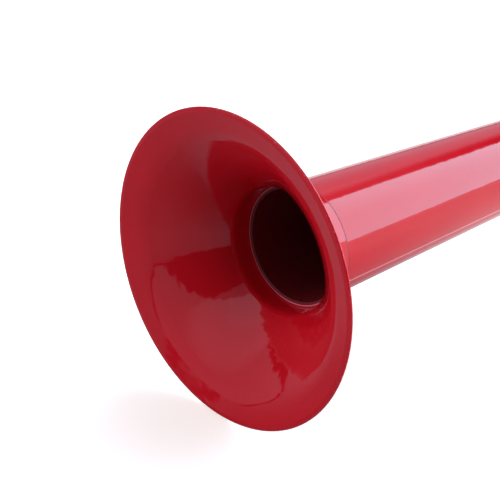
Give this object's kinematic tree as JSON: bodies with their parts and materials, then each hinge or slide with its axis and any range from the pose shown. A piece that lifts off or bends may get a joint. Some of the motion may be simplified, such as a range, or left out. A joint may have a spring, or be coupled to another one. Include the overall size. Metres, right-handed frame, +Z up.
{
  "type": "telescoping stadium horn",
  "caption": "Red telescoping stadium cheering horn with a flared bell, tapered tubes that slide into one another, collars with rubber seals and a cup mouthpiece.",
  "frame": {"origin": "centre of the bell's mouth, in the plane of its rim", "axes": "+X along the horn's axis from the bell's mouth to the mouthpiece, so the bell faces -X; +Z up"},
  "size_m": [0.618, 0.12, 0.12],
  "materials": {
    "bell_red": "high gloss, injection moulded",
    "tube_red": "high gloss, extruded",
    "collar_red": "high gloss, injection moulded",
    "mouthpiece_red": "high gloss, injection moulded",
    "bush_white": "satin, self-lubricating",
    "seal_rubber": "matt"
  },
  "bodies": {
    "bell_section": {"bell": "bell_red", "front_tube": "tube_red", "front_collar": "collar_red", "front_seal": "seal_rubber"},
    "middle_section": {"middle_tube": "tube_red", "middle_guide_bush": "bush_white", "middle_collar": "collar_red", "middle_seal": "seal_rubber"},
    "mouth_section": {"rear_tube": "tube_red", "rear_guide_bush": "bush_white", "mouthpiece": "mouthpiece_red", "mouthpiece_seal": "seal_rubber"}
  },
  "joints": [
    {"name": "middle_slide", "type": "slide", "parent": "bell_section", "child": "middle_section", "axis": [-1, 0, 0], "range_m": [0, 0.158]},
    {"name": "rear_slide", "type": "slide", "parent": "middle_section", "child": "mouth_section", "axis": [-1, 0, 0], "range_m": [0, 0.146]}
  ]
}
